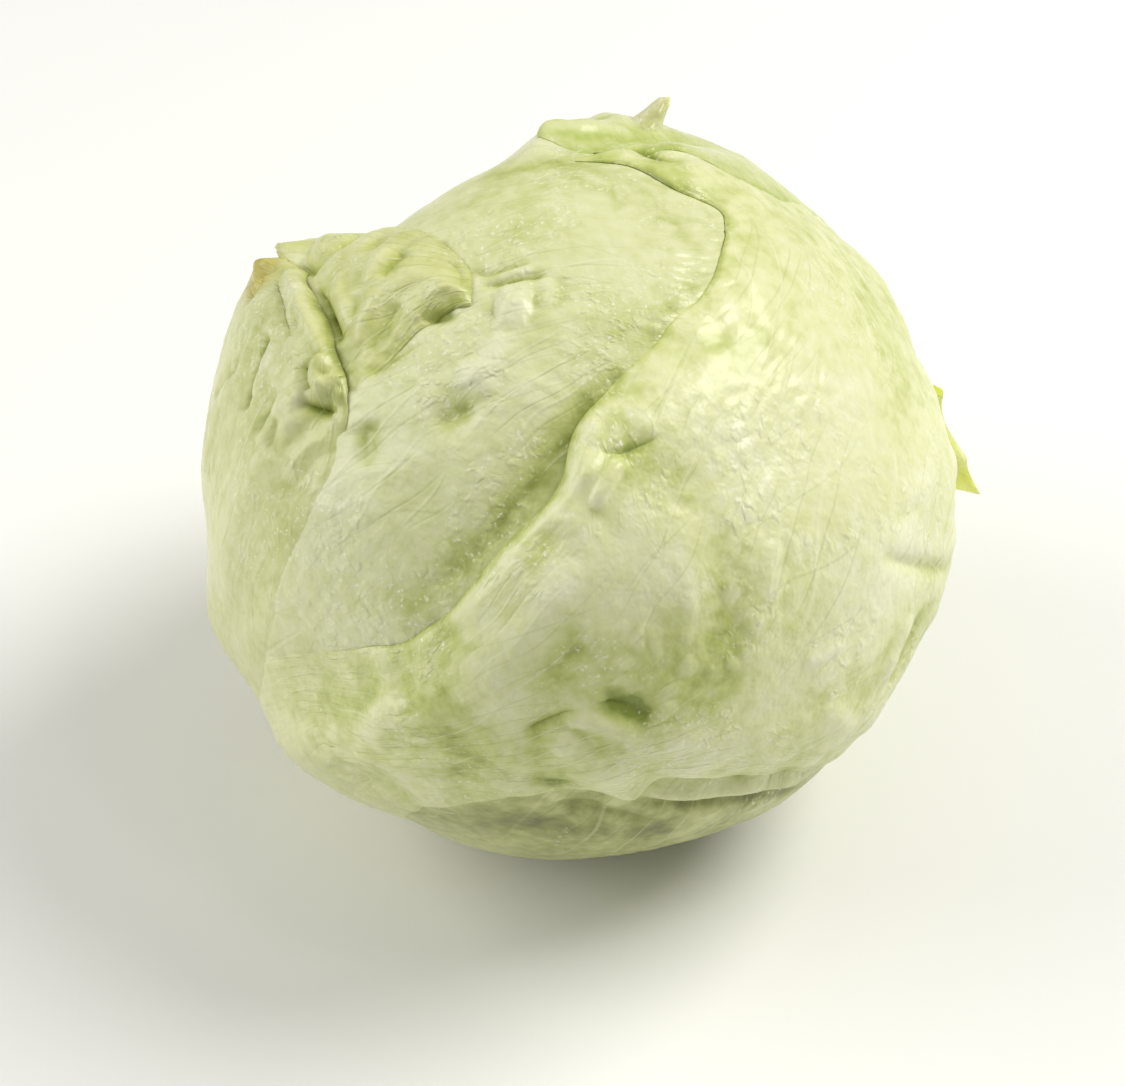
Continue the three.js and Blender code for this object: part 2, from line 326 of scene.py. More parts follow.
def leaf_material(name, colours, seed):
    """Lettuce leaf: thin, watery and waxy.  Its fine veins fan out from the stem, and the small
    blisters between them catch the light; near-white specks are painted on them as painted glints where
    they are wet.  Light comes through the few places where it stands free of the head.  The four colours go
    from the whitish bloom of smooth places to the green of hollows, which is darkened as painted shade;
    blister tops are painted lighter as a painted highlight."""
    material, tree = new_material(name)
    blade = add_node(tree, "ShaderNodeUVMap", {"uv_map": "blade"})  # in mm
    where = add_node(tree, "ShaderNodeTexCoord")
    tone, near_stem, dried, free = (
        add_node(tree, "ShaderNodeAttribute", {"attribute_name": a}).outputs["Fac"]
        for a in ("tone", "near_stem", "dried", "free")
    )

    def calculate(operation, a, b=0.0, c=0.0, clamp=False):
        settings, links = {"operation": operation, "use_clamp": clamp}, {}
        for i, value in enumerate((a, b, c)):
            (settings if isinstance(value, (int, float)) else links)[i] = value
        return add_node(tree, "ShaderNodeMath", settings, links).outputs[0]

    def ranged(value, low, high, to_low=0.0, to_high=1.0):
        return add_node(tree, "ShaderNodeMapRange",
                        {"interpolation_type": "SMOOTHSTEP", 1: low, 2: high, 3: to_low, 4: to_high},
                        {0: value}).outputs[0]

    def blend(fac, below, above):
        settings, links = {"data_type": "RGBA"}, {0: fac}
        for i, value in ((6, below), (7, above)):
            (settings if isinstance(value, list) else links)[i] = value
        return add_node(tree, "ShaderNodeMix", settings, links).outputs[2]

    def vein_lines(spacing_mm, turned, wander_mm, bend_mm):
        """0 on the lines of a set of near-parallel veins, up to 0.5 between them."""
        bent = add_node(tree, "ShaderNodeMapping",
                        {"Scale": (1 / wander_mm, 0.45 / wander_mm, 1.0),
                         "Location": (seed, seed * 2.7, turned)},
                        {"Vector": blade.outputs[0]})
        field = add_node(tree, "ShaderNodeTexNoise", {"Scale": 1.0, "Detail": 1.5, "Roughness": 0.4},
                         {"Vector": bent.outputs[0]}).outputs["Fac"]
        angle = math.radians(turned)
        across = (math.cos(angle) / spacing_mm, math.sin(angle) / spacing_mm, 0.0)
        laid = add_node(tree, "ShaderNodeVectorMath", {"operation": "DOT_PRODUCT", 1: across},
                        {0: blade.outputs[0]})
        wavy = calculate("MULTIPLY_ADD", field, bend_mm / spacing_mm, laid.outputs["Value"])
        return calculate("PINGPONG", wavy, 0.5)

    main = vein_lines(4.4, 4, 34.0, 18.0)
    side = vein_lines(6.5, 13, 25.0, 16.0)
    side_back = vein_lines(8.0, -9, 28.0, 18.0)
    veined = calculate("MULTIPLY_ADD", near_stem, -0.8, 1.0)
    pebbles = add_node(tree, "ShaderNodeTexNoise", {"Scale": 300.0, "Detail": 2.0, "Roughness": 0.5},
                       {"Vector": where.outputs["Object"]}).outputs["Fac"]
    patches = add_node(tree, "ShaderNodeTexNoise", {"Scale": 55.0, "Detail": 1.0},
                       {"Vector": where.outputs["Object"]})
    cells = add_node(tree, "ShaderNodeMapping", {"Scale": (1 / 1.7, 1 / 2.4, 1.0)},  # blisters in mm
                     {"Vector": blade.outputs[0]})
    uneven = add_node(tree, "ShaderNodeTexNoise", {"Scale": 0.9, "Detail": 1.0},
                      {"Vector": cells.outputs[0]})
    cells = add_node(tree, "ShaderNodeVectorMath", {"operation": "MULTIPLY_ADD", 1: (1.8, 1.8, 0.0)},
                     {0: uneven.outputs["Color"], 2: cells.outputs[0]})
    cells = add_node(tree, "ShaderNodeTexVoronoi", {"Scale": 1.0},
                     {"Vector": cells.outputs[0]}).outputs["Distance"]
    blistered = calculate("MULTIPLY", ranged(patches.outputs["Fac"], 0.45, 0.6), veined)
    domes = calculate("MULTIPLY", ranged(cells, 0.05, 0.6, 1.0, 0.0), blistered)

    # how green and dark each place is: 0 for the bloom on smooth places, 1 for the deepest hollows, where
    # the dark green is painted shade
    depth = calculate("ADD", calculate("MULTIPLY_ADD", tone, 0.24, 0.42),
                      calculate("MULTIPLY_ADD", pebbles, 0.6, -0.3))
    # the tops of blisters are painted whiter, a painted highlight
    depth = calculate("MULTIPLY_ADD", domes, -0.14, depth)
    shades = add_node(tree, "ShaderNodeValToRGB", links={"Fac": depth})
    elements = shades.color_ramp.elements
    elements.new(0.36)
    elements.new(0.66)
    for element, position, colour in zip(elements, (0.0, 0.36, 0.66, 1.0), colours):
        element.position, element.color = position, linear(colour)
    colour = blend(calculate("MULTIPLY", near_stem, 0.5), shades.outputs["Color"], linear("dedcb2"))
    strips = add_node(tree, "ShaderNodeTexNoise", {"Scale": 45.0, "Detail": 2.0},
                      {"Vector": where.outputs["Object"]})
    visible = calculate("MULTIPLY", ranged(strips.outputs["Fac"], 0.36, 0.64), veined)
    # dark, pale and dark veins: their half-width as a share of their spacing, and their strength
    for lines, width, strength, own in (
        (main, 0.055, 0.2, 3), (side, 0.05, 0.5, 0), (side_back, 0.035, 0.17, 3),
    ):
        vein = calculate("MULTIPLY", ranged(lines, 0.0, width, strength, 0.0), visible)
        colour = blend(vein, colour, linear(colours[own]))
    # painted glints: near-white specks on the blisters stand in for the sparkle of light on wet spots
    glint_noise = add_node(tree, "ShaderNodeTexNoise", {"Scale": 1000.0, "Detail": 1.0},
                   {"Vector": where.outputs["Object"]}).outputs["Fac"]
    painted_glints = calculate("MULTIPLY", ranged(glint_noise, 0.6, 0.8, 0.0, 0.7), blistered)
    colour = blend(painted_glints, colour, linear("f6f7e2"))
    colour = blend(dried, colour, linear("c2b65a"))

    furrow = calculate("MULTIPLY", ranged(main, 0.0, 0.09, -0.12, 0.0), visible)
    ridge = calculate("MULTIPLY_ADD", ranged(side, 0.0, 0.08, 0.14, 0.0), visible, furrow)
    lumps = calculate("MULTIPLY_ADD", domes, 0.32, ridge)
    relief = add_node(tree, "ShaderNodeBump", {"Strength": 0.7, "Distance": 0.0008},
                      {"Height": calculate("MULTIPLY_ADD", pebbles, 0.9, lumps)})
    shader = add_node(
        tree, "ShaderNodeBsdfPrincipled",
        {"IOR": 1.4, "Roughness": 0.45, "Coat Weight": 0.3, "Coat Roughness": 0.13,
         "Subsurface Scale": 0.004, "Subsurface Radius": (0.8, 1.0, 0.25)},
        {"Base Color": colour, "Normal": relief.outputs[0], "Subsurface Weight": free},
    )
    add_node(tree, "ShaderNodeOutputMaterial", links={"Surface": shader.outputs[0]})
    return material


mesh.materials.append(leaf_material("inner lettuce leaf", ("dbdbb8", "cbcd98", "b3b973", "8a9348"), 1.7))
add_piece("inner_leaves", mesh, "inner_head")

# ---- Left leaf -------------------------------------------------------------------------------
# The lowest of the loose leaves: it wraps the left, the middle and the top of the head.  Like all
# of them it is a thin blade that grows from the stem, thick and pale there and thin at its margin.

# A leaf's shape: rows of (turn, reach) from its left to its right margin, from its foot to its tip.
left_leaf_rows = [
    [(136, 10.5), (78, 10.5), (28, 10.5)],
    [(120, 40), (72, 40), (26, 40)],
    [(122, 65), (70, 65), (20, 65)],
    [(126, 90), (68, 90), (12, 90)],
    [(132, 112), (66, 112), (8, 112)],
    [(144, 130), (66, 134), (2, 132)],
    [(165, 146), (60, 156), (-25, 152)],
    [(-165, 150), (-140, 158), (-100, 160)],
]
# Its folds: height and half-width in mm, then a line of (turn, reach).
left_leaf_folds = [
    (-1.4, 1.3, [(78, 121), (76, 124), (76, 127), (77, 131)]),  # creases beside the crumpled leaf
    (-1.6, 1.3, [(74, 122), (73, 126), (73, 130), (72, 133)]),
    (0.8, 1.6, [(75, 123), (75, 127), (75, 131)]),
    (2.1, 5.0, [(68, 124), (66, 129)]),  # a puffed bump and its bright edge
    (0.6, 1.2, [(73, 132), (68, 132), (64, 131)]),
    (-0.6, 1.8, [(72, 134), (67, 134), (62, 132)]),
    (1.4, 2.4, [(62, 124), (58, 121), (56, 119), (53, 117)]),
    (1.0, 2.4, [(60, 117), (55, 117)]),
    (-1.4, 2.6, [(52, 109), (52, 113), (51, 116)]),
    (-0.8, 0.9, [(67, 112), (66, 107), (65, 102)]),
    (-1.1, 2.6, [(59, 100), (56, 99), (52, 97)]),  # long dent below the curl
    (-1.3, 4.5, [(44, 138), (41, 131), (38, 123), (35, 115), (33, 107), (32, 98), (33, 90)]),  # by the lip
    (-0.7, 3.0, [(104, 137), (100, 145), (95, 152), (84, 157)]),
    (0.7, 5.0, [(52, 128), (46, 118), (42, 104)]),
    (-0.6, 5.0, [(47, 124), (44, 112), (44, 98)]),
    (2.0, 14.0, [(58, 97), (51, 82), (42, 62), (35, 42), (32, 26)]),  # up to the side leaf's margin
]
# Its colour: + greener and darker or - whiter, half-width in mm, and (turn, reach).  The greener spots are
# mostly painted shade in creases, under the crumpled leaf and along the right leaf's lip and groove; the
# whiter ones are partly painted light.
left_leaf_tones_and_painted_light = [
    (1.3, 6, (41, 132)), (1.3, 6, (39, 126)), (1.0, 6, (36, 119)), (0.8, 6, (34, 111)),
    (0.7, 6, (32, 103)), (0.5, 6, (32, 94)), (0.8, 4, (52, 112)), (0.8, 4, (75, 127)),
    (0.8, 3, (71, 116)), (0.6, 4, (66, 106)), (0.9, 3.5, (56, 99)), (0.9, 7, (111, 135)),
    (-0.6, 7, (60, 120)), (-0.5, 8, (52, 124)), (-0.5, 9, (75, 145)), (-0.9, 18, (46, 88)),
    (-0.5, 16, (60, 78)), (0.5, 8, (85, 130)), (0.4, 8, (58, 140)), (0.9, 2.5, (62, 153)),
    (0.9, 2.5, (55, 149)), (0.9, 2.5, (50, 145)), (0.9, 2.5, (47, 141)), (1.0, 2.5, (45, 136)),
    (1.0, 2.5, (43, 130)),
]


def unit(vectors):
    return vectors / np.linalg.norm(vectors, axis=-1, keepdims=True)


def blade_directions(rows, across, along):
    """Directions [len(along), len(across), 3] over a leaf's blade, evenly spaced along it."""
    rows = np.array(rows, float)
    corners = direction(rows[..., 0], rows[..., 1])
    courses = unit(smooth_through(corners, np.linspace(0, 1, 200)))
    steps = np.linalg.norm(np.diff(courses, axis=0), axis=-1).mean(1)
    length = np.concatenate([[0], np.cumsum(steps)])
    courses = unit(smooth_through(corners, np.interp(along * length[-1], length, np.linspace(0, 1, 200))))
    return unit(smooth_through(courses.transpose(1, 0, 2), across).transpose(1, 0, 2))


def tree_of(points):
    tree = kdtree.KDTree(len(points))
    for i, p in enumerate(points.tolist()):
        tree.insert(p, i)
    tree.balance()
    return tree


def nearest(tree, points, values):
    """The distance from each point to the nearest of a tree, and a value smoothed over three."""
    found = [tree.find_n(p, 3) for p in points.tolist()]
    apart = np.array([[f[2] for f in three] for three in found])
    share = 1 / (apart + 1e-5) ** 2
    index = np.array([[f[1] for f in three] for three in found])
    return apart[:, 0], (values[index] * share).sum(1) / share.sum(1)


# The leaves made so far, from the inside out: their directions, outer radii and outer surface.
grown = []


def grow_leaf(name, node, rows, lips, folds, tones_and_painted_light, material, seed, squares=(150, 220), lip_width=3.5,
              wave=0.5, blister=0.3, floor=2.7, pulls=(), dried=(), free=()):
    """Makes one wrapper leaf, draped over the ones before it.

    lips says how far the margin puffs up off the leaf below, in mm, near each (turn, reach); wave
    and blister are heights in mm; each pull moves the blade near a (turn, reach) by (x, y, z) mm.
    It is dried, or stands free of the head, round each (turn, reach, half-width in mm).  squares
    are the mesh's squares across and along, and floor is the lowest height in mm."""
    across, along = squares
    bm = bmesh.new()
    bm.loops.layers.uv.new("blade")
    bmesh.ops.create_grid(bm, x_segments=across, y_segments=along, size=0.5, calc_uvs=True)
    for face in bm.faces:
        face.smooth = True
    for edge in bm.edges:
        edge.smooth = not edge.is_boundary
    mesh = bpy.data.meshes.new(name)
    bm.to_mesh(mesh)
    bm.free()
    u, v = np.linspace(0, 1, across + 1), np.linspace(0, 1, along + 1)
    grid = blade_directions(rows, u, v)
    directions = grid.reshape(-1, 3)
    uneven = np.stack([noise_over(directions, 0.14, seed + i) for i in (1, 2, 3)], 1)
    directions = unit(directions + 0.012 * uneven)
    grid = directions.reshape(grid.shape)
    margin = np.concatenate([grid[:, 0], grid[-1], grid[::-1, -1]])
    rim = MEAN_RADIUS * nearest(tree_of(margin), directions, np.zeros(len(margin)))[0]  # mm from the margin

    smooth = ball_radius(directions) - HEART_DEPTH + LEAF_GAP
    ground = inner_radius(directions)
    for tree, outer, surface in grown:
        apart, height = nearest(tree, directions, outer)
        smooth += LAYER * (1 - smooth_step(np.degrees(apart), TUCK, TUCK + DRAPE))
        over = [surface.ray_cast((0, 0, 0), d)[3] for d in directions.tolist()]
        height = np.array([h if o is None else o for o, h in zip(over, height)])
        ground = np.maximum(ground, height - 1.5 * np.maximum(MEAN_RADIUS * apart - 1.2, 0))

    shares = np.stack([(apart_mm(directions, turn, reach) ** 2 + 4) ** -2 for turn, reach, _ in lips])
    lip = (shares * np.array([height for *_, height in lips])[:, None]).sum(0) / shares.sum(0)
    lip = lip * (1 + 0.35 * noise_over(directions, 0.09, seed + 8))

    width_mm = MEAN_RADIUS * np.linalg.norm(np.diff(grid, axis=1), axis=-1).sum(1).mean()
    length_mm = MEAN_RADIUS * np.linalg.norm(np.diff(grid, axis=0), axis=-1).sum(0).mean()
    flat = np.stack([np.tile(u, along + 1) * width_mm, np.repeat(v, across + 1) * length_mm,
                     np.zeros(len(directions))], 1)
    # long soft undulations run from the stem, and small blisters lie between the veins
    fan = flat * (1, 0.35, 1)
    waves = wave * (noise_over(fan, 15, seed) + 0.5 * noise_over(fan, 6, seed + 4))
    crooked = [noise_over(flat, 6, seed + i) for i in (5, 6)] + [np.zeros(len(flat))]
    net = flat / (3.6, 6.0, 1) + 0.4 * np.stack(crooked, 1)
    cells = np.array([noise.voronoi(p)[0][:2] for p in net.tolist()])
    patchy = smooth_step(noise_over(directions, 0.3, seed + 7), -0.25, 0.4)
    domes = smooth_step(cells[:, 1] - cells[:, 0], 0.0, 0.55)
    waves += blister * patchy * domes * smooth_step(flat[:, 1], 25, 90)

    # the margin meets the leaf below, swells into a lip and settles to the blade's own height;
    # where it has no lip it is pressed into the leaf below, so that no edge shows
    inward = np.clip(rim / lip_width, 0, 1)
    rise = smooth_step(rim, 0, 14 + 14 * (1 - np.clip(lip, 0, 1)))
    pressed = 0.3 * (1 - np.clip(2.5 * lip, 0, 1)) * (1 - smooth_step(rim, 0, 4))
    radius = ground + 0.05 + rise * (smooth - ground + waves)
    radius += lip * np.sqrt(1 - (1 - inward) ** 2) * np.exp(-((np.maximum(rim - lip_width, 0) / 13) ** 2))
    folded = fold_heights(directions, folds)
    radius = np.maximum(radius + folded * smooth_step(rim, -1, 2), ground + 0.05) - pressed

    # places lower than those around them are painted greener and darker, as painted shade in hollows
    blurred = radius.reshape(along + 1, across + 1)
    for _ in range(30):
        padded = np.pad(blurred, 1, mode="edge")
        blurred = (padded[:-2, 1:-1] + padded[2:, 1:-1] + padded[1:-1, :-2] + padded[1:-1, 2:]) / 4
    painted_hollow_shade = np.clip((blurred.ravel() - radius) / 0.5, -1, 1)
    tone = 0.8 * noise_over(directions, 0.3, 19) + 0.5 * noise_over(directions, 0.11, 20) + 0.9 * painted_hollow_shade
    # spots from the tables: greener and darker or whiter, many of them painted shade and painted light
    for amount, half_width, place in tones_and_painted_light:
        tone += amount * np.exp(-((apart_mm(directions, *place) / half_width) ** 2))
    tone += 0.35 * (1 - smooth_step(rim, 0, 7)) * np.clip(lip, 0, 1)

    places = directions * radius[:, None] + BALL_CENTRE
    for turn, reach, half_width, shift in pulls:
        nearness = np.clip(1 - apart_mm(directions, turn, reach) / half_width, 0, 1) ** 1.5
        places += nearness[:, None] * np.array(shift)
    places[:, 2] = np.maximum(places[:, 2], floor)
    # as a share of LEAF_THICKNESS: thinnest at the margin, and thinner still where it has no lip
    thickness = np.clip(0.05 + 0.2 * lip, 0.05, 0.45)
    thickness += 0.55 * smooth_step(rim, 0, 8 + 20 * (1 - np.clip(lip, 0, 1)))
    write_places(mesh, places)
    corners = np.zeros(len(mesh.loops), np.int32)
    mesh.loops.foreach_get("vertex_index", corners)
    mesh.uv_layers["blade"].data.foreach_set("uv", flat[corners, :2].astype(np.float32).ravel())
    write_attribute(mesh, "tone", tone)
    reaches = np.degrees(np.arccos(np.clip(directions @ stem_axis, -1, 1)))
    write_attribute(mesh, "near_stem", 1 - smooth_step(reaches, 20, 95))
    for attribute, spots in (("dried", dried), ("free", free)):
        strength = np.zeros(len(directions))
        for turn, reach, half_width in spots:
            near = np.exp(-((apart_mm(directions, turn, reach) / half_width) ** 2))
            strength = np.maximum(strength, near)
        write_attribute(mesh, attribute, strength)
    mesh.materials.append(material)
    outer = radius + LEAF_THICKNESS * thickness
    bm = bmesh.new()
    bm.from_mesh(mesh)
    for vertex, place in zip(bm.verts, (directions * outer[:, None]).tolist()):
        vertex.co = place
    grown.append((tree_of(directions), outer, BVHTree.FromBMesh(bm)))
    bm.free()

    piece = add_piece(name, mesh, node)
    weights = piece.vertex_groups.new(name="thickness")
    levels = np.round(thickness * 20).astype(int)
    for level in range(1, 21):
        if (levels == level).any():
            weights.add(np.nonzero(levels == level)[0].tolist(), level / 20, "REPLACE")
    wall = piece.modifiers.new("thickness", "SOLIDIFY")
    wall.thickness = LEAF_THICKNESS / 1000
    wall.offset = 1
    wall.vertex_group = "thickness"
    return piece


grow_leaf("left_blade", "left_leaf", left_leaf_rows, [(60, 120, 0.0)], left_leaf_folds, left_leaf_tones_and_painted_light,
          leaf_material("pale lettuce leaf", ("e4e5c0", "d7daa6", "c0c67e", "8d9644"), 2.3), 11,
          squares=(190, 230), wave=0.5)

# ---- Under leaf --------------------------------------------------------------------------------
# A greener leaf that wraps the underside; the head's weight presses it flat where it rests.  Its colours
# are darkened further as painted shade on the underside.

under_leaf_rows = [
    [(38, 10.3), (-60, 10.3), (-158, 10.3)],
    [(30, 40), (-62, 40), (-155, 40)],
    [(22, 65), (-60, 65), (-140, 65)],
    [(17, 88), (-55, 88), (-125, 88)],
    [(10, 108), (-50, 110), (-110, 108)],
    [(-4, 122), (-48, 127), (-92, 125)],
    [(-19, 133), (-48, 138), (-76, 136)],
]
under_leaf_folds = [
    (1.7, 2.3, [(-14, 93), (-18, 95), (-23, 97), (-29, 99), (-38, 100), (-47, 98)]),  # under the margin
    (-2.2, 2.4, [(-12, 90), (-20, 93), (-28, 95), (-38, 96), (-47, 94)]),
    (-1.2, 2.5, [(-4, 84), (-10, 86), (-20, 88)]),
]
# Its colour spots, as for the left leaf: the greener ones are painted shade over the underside and under
# the right leaf's margin; the whiter line is a painted light edge along the fold under that margin.
under_leaf_tones_and_painted_light = [
    (1.6, 7, (-14, 81)), (1.7, 6, (-22, 86)), (1.3, 6, (-6, 77)), (1.0, 7, (1, 69)),
    (1.0, 8, (-34, 92)), (1.0, 30, (-60, 62)), (0.8, 3, (-8, 90)), (0.8, 3, (-1, 84)),
    (0.8, 3, (3, 75)), (0.6, 12, (-24, 66)), (-1.2, 3.5, (-22, 98)), (-1.2, 3.5, (-30, 101)),
    (-1.2, 3.5, (-38, 102)), (-1.2, 3.5, (-46, 101)),
]
under_leaf_lips = [(0, 90, 0.5), (-50, 130, 0.8)]
# its colour range reaches a dark olive that is painted shade
grow_leaf("under_blade", "under_leaf", under_leaf_rows, under_leaf_lips, under_leaf_folds, under_leaf_tones_and_painted_light,
          leaf_material("lettuce leaf with painted shade", ("d9dca6", "bcc17a", "8a9040", "4c4e14"), 3.1), 23,
          squares=(240, 170), floor=1.25, wave=0.8)

# ---- Right leaf ----------------------------------------------------------------------------------
# The broad leaf over the right half.  Its free margin climbs the middle of the head as a rounded
# lip, turns back over the top in a crisp groove, and waves along the bottom.

right_leaf_rows = [
    [(72, 10.1), (25, 10.1), (-22, 10.1)],
    [(50, 38), (26, 40), (-4, 42)],
    [(42, 60), (25, 62), (5, 63)],
    [(32, 79), (18, 77), (4, 76)],
    [(28, 91), (12, 88), (-2, 89)],
    [(29, 101), (8, 96), (-9, 92.5)],
    [(31, 113), (4, 103), (-12, 98)],
    [(33, 121), (0, 110), (-21, 101)],
    [(39, 127), (-2, 116), (-34, 103)],
    [(43, 136), (-4, 124), (-52, 102)],
    [(49, 146), (-8, 140), (-66, 112)],
    [(66, 158), (-20, 157), (-74, 126)],
    [(112, 160), (-80, 168), (-88, 138)],
    [(114, 151), (172, 165), (-115, 146)],
    [(118, 142), (162, 150), (-145, 146)],
    [(114, 134), (146, 140), (-168, 142)],
]
right_leaf_lips = [
    (50, 38, 0.0), (42, 60, 0.0), (35, 71, 0.1), (32, 79, 0.5), (30, 86, 1.2), (28, 92, 2.0),
    (29, 101, 3.0), (31, 113, 3.4), (33, 121, 3.2), (38, 127, 2.6), (36, 131, 1.6), (43, 136, 0.9),
    (49, 146, 0.9), (58, 153, 0.9), (75, 159.5, 0.9), (112, 160, 1.0), (114, 151, 1.4), (118, 142, 1.0),
    (114, 134, 0.4), (-22, 14, 0.0), (-4, 42, 0.1), (5, 63, 0.4), (4, 76, 1.0), (-2, 89, 1.8),
    (-9, 92.5, 2.3), (-12, 98, 2.0), (-21, 101, 1.2), (-34, 103, 1.0), (-52, 102, 0.8), (-66, 112, 0.8),
    (-74, 126, 0.8),
]
right_leaf_folds = [
    (1.4, 1.8, [(30, 112), (31, 117), (32, 121), (32, 124), (34, 127)]),  # a second ridge inside the lip
    (-1.2, 1.2, [(31, 113), (31.5, 118), (32, 122), (34, 125)]),
    (1.4, 1.1, [(30, 129), (29, 126), (27, 122)]),  # a bright rib
    (-0.7, 1.3, [(33, 127), (31, 129), (30, 132), (29, 135)]),  # crease under a blistered bump
    (0.4, 5.0, [(35, 133), (34, 136)]),
    (0.9, 1.6, [(8, 99), (5, 101.5), (1, 103), (-2, 103.5)]),
    (0.8, 2.5, [(5, 95), (5, 99)]),
    (-0.8, 3.5, [(13, 101), (14, 106), (13, 110)]),
    (0.8, 5.0, [(16, 131), (12, 126), (4, 120), (0, 114)]),  # soft ribs from the stem to the crown
    (-0.8, 5.0, [(10, 133), (4, 126), (-3, 117)]),
    (0.8, 5.0, [(2, 135), (-5, 127), (-9, 118)]),
    (0.8, 1.4, [(-20, 122), (-24, 124), (-28, 126)]),
    (-0.6, 1.8, [(-30, 139), (-43, 137.5), (-55, 134.5), (-66, 131)]),  # fold low on the right side
    (0.3, 2.0, [(-34, 141), (-45, 139.5), (-57, 137), (-67, 134.5)]),
    (-0.6, 1.8, [(-34, 144), (-42, 145), (-50, 145)]),
    (1.2, 2.4, [(-50, 129), (-48, 124), (-46, 119)]),
    (-1.0, 2.0, [(-55, 128), (-53, 122), (-50, 116)]),
    (1.0, 2.4, [(-42, 112), (-36, 114), (-30, 116)]),
    (0.9, 1.5, [(111, 154), (106, 158), (90, 161), (74, 159)]),  # the green band inside the groove
]
# Its colour spots: the greener ones are painted shade in the pinched dent, in creases and in the hollow
# behind the top; the whiter ones on the upper right are partly bloom and partly painted light from the
# lamp.
right_leaf_tones_and_painted_light = [
    (1.4, 2.6, (5, 105.3)), (3.0, 3.0, (2, 106.5)), (0.9, 2.4, (8.3, 100)), (0.9, 2.4, (9.3, 96.5)),
    (1.2, 3, (1, 90)), (0.8, 7, (13, 104)), (0.7, 8, (5, 114)), (0.7, 8, (-7, 114)),
    (1.0, 6, (32, 134)), (0.8, 4, (29, 126)), (0.5, 8, (-2, 124)), (0.5, 8, (-16, 128)),
    (0.6, 6, (-33, 146)), (0.9, 5, (114, 149)), (0.9, 5, (110, 155)), (0.8, 5, (98, 159)),
    (0.7, 5, (74, 158)), (1.0, 5, (108, 137)), (1.8, 4, (128, 144)), (1.4, 4, (122, 136)),
    (1.6, 4, (126, 148)), (-0.8, 8, (22, 112)), (-0.8, 8, (24, 121)), (-0.7, 9, (14, 119)),
    (-0.7, 9, (44, 150)), (-0.6, 9, (30, 140)), (-0.6, 9, (-20, 118)), (-0.6, 9, (14, 94)),
    (0.8, 14, (21, 81)), (0.6, 9, (8, 83)), (-0.5, 9, (-10, 104)), (-0.5, 12, (12, 140)),
    (0.5, 5, (-58, 130)), (-0.6, 6, (34, 127)), (-1.0, 20, (-38, 138)), (-0.7, 16, (-26, 130)),
    (0.5, 20, (10, 92)), (-1.6, 14, (-16, 157)), (-1.1, 12, (8, 141)), (0.9, 6, (112, 138)),
    (0.9, 8, (36, 152)),
]
grow_leaf("right_blade", "right_leaf", right_leaf_rows, right_leaf_lips, right_leaf_folds, right_leaf_tones_and_painted_light,
          leaf_material("blistered lettuce leaf", ("ecedc8", "dfe2aa", "c2ca78", "86953a"), 4.4), 37,
          squares=(190, 250), wave=0.6, blister=0.4, pulls=[(-10.5, 94, 7, (0.5, -1.2, -3.0))])

# ---- Crumpled leaf --------------------------------------------------------------------------------
# A leaf pushed into a thick folded flap at the upper left; its rounded end hangs over the leaf below.

crumpled_leaf_rows = [
    [(133, 10), (104, 10), (78, 10)],
    [(128, 40), (102, 40), (74, 40)],
    [(128, 62), (100, 66), (68, 68)],
    [(121, 76), (94, 86), (64, 86)],
    [(114, 87), (89, 98), (64, 97)],
    [(105, 98), (86, 106), (66, 105)],
    [(98, 106), (83, 112), (69, 111)],
    [(92, 112), (80, 117), (70.5, 116)],
    [(86, 117), (77.5, 121), (70, 120.5)],
]
crumpled_leaf_lips = [
    (78, 14, 0.0), (74, 40, 0.0), (68, 68, 0.0), (64, 86, 0.1), (64, 97, 0.2), (66, 105, 0.3),
    (69, 111, 0.6), (70.5, 115, 1.0), (70, 118.5, 1.2), (70, 121.5, 1.4), (77, 122, 1.4),
    (83, 118, 1.2), (92, 112, 0.9), (105, 98, 0.8), (121, 76, 0.4), (128, 40, 0.0),
]
crumpled_leaf_folds = [
    (0.8, 8.0, [(96, 100), (92, 103), (84, 110), (78, 116)]),
    (4.2, 5.5, [(112, 80), (108, 86), (104, 92), (99, 98)]),  # its top edge
    (0.8, 1.6, [(84, 99), (80, 100.5), (75, 101.5)]),
    (0.9, 1.5, [(88, 109), (85, 107.5), (81, 105)]),
    (-1.4, 2.6, [(85, 112), (83, 110), (80, 108)]),
    (0.7, 1.3, [(87, 100), (84, 100), (81, 99)]),
    (-1.1, 1.8, [(80, 118.5), (77, 119.5), (73, 119.5)]),
    (1.0, 1.3, [(74, 114), (74, 118), (72, 120)]),
    (-1.1, 2.0, [(75, 110), (72, 107), (69, 104)]),
    (0.8, 1.8, [(78, 108), (75, 104), (71, 102)]),
    (-0.8, 1.8, [(80, 104), (76, 102)]),
    (0.7, 2.0, [(94, 99), (90, 98), (88, 96)]),
    (-1.0, 2.5, [(92, 104), (89, 107)]),
]
